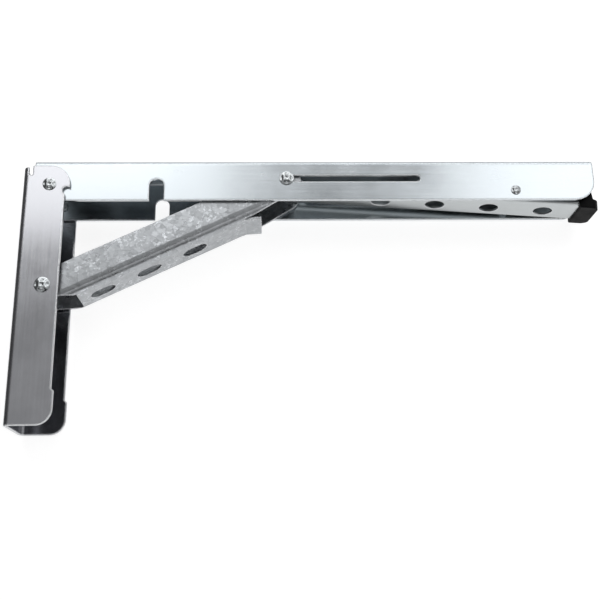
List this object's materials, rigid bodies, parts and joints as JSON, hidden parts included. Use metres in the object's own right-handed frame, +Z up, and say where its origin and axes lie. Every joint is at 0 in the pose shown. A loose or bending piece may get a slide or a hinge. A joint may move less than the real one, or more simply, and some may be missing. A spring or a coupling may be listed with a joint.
{
  "type": "drop leaf table bracket",
  "caption": "Folding sheet-steel bracket that holds a drop leaf level, with a diagonal strut sliding in the table arm and a long release lever with a black grip.",
  "frame": {"origin": "on the wall face, midway between the two outer wall screws", "axes": "+X out from the wall along the open table arm, +Y across the channels, +Z up"},
  "size_m": [0.303, 0.0342, 0.14],
  "materials": {
    "bright_zinc_sheet": "bright zinc plated, smooth",
    "spangled_galvanised_sheet": "galvanised, fine spangle",
    "lever_zinc_sheet": "zinc plated, satin",
    "rivet_steel": "bright zinc plated, turned",
    "spring_wire": "drawn spring wire",
    "black_plastic": "moulded, matt"
  },
  "bodies": {
    "wall_arm": {"wall_arm": "bright_zinc_sheet", "hinge_rivet_left": "rivet_steel", "hinge_rivet_right": "rivet_steel", "strut_foot_pin": "rivet_steel", "foot_spacer_left": "rivet_steel", "foot_spacer_right": "rivet_steel"},
    "table_arm": {"table_arm": "bright_zinc_sheet", "lever_pin": "rivet_steel", "lever_spacer_left": "rivet_steel", "lever_spacer_right": "rivet_steel", "lever_spring": "spring_wire"},
    "strut": {"strut": "spangled_galvanised_sheet", "strut_rivet_tail_left": "rivet_steel", "strut_rivet_tail_right": "rivet_steel"},
    "slide_rivets": {"slide_rivet_left": "rivet_steel", "slide_rivet_right": "rivet_steel"},
    "release_lever": {"release_lever": "lever_zinc_sheet", "lever_grip": "black_plastic"}
  },
  "joints": [
    {"name": "fold", "type": "hinge", "parent": "wall_arm", "child": "table_arm", "pos_m": [0.014, 0, 0.0655], "axis": [0, 1, 0], "range_deg": [0, 90]},
    {"name": "strut_swing", "type": "hinge", "parent": "wall_arm", "child": "strut", "pos_m": [0.014, 0, 0.0105], "axis": [0, 1, 0], "range_deg": [0, 114]},
    {"name": "pin_slide", "type": "slide", "parent": "table_arm", "child": "slide_rivets", "axis": [1, 0, 0], "range_m": [0, 0.069]},
    {"name": "lever_press", "type": "hinge", "parent": "table_arm", "child": "release_lever", "pos_m": [0.2577, 0, 0.0624], "axis": [0, -1, 0], "range_deg": [0, 2.2], "stiffness_Nm_per_rad": 0.6, "springref_deg": -17.19, "deforming": ["lever_spring"]}
  ],
  "couplings": [
    {"joint": "strut_swing", "follows": "fold", "ratio": 1.2665},
    {"joint": "pin_slide", "follows": "fold", "m_per_rad": 0.043506}
  ]
}
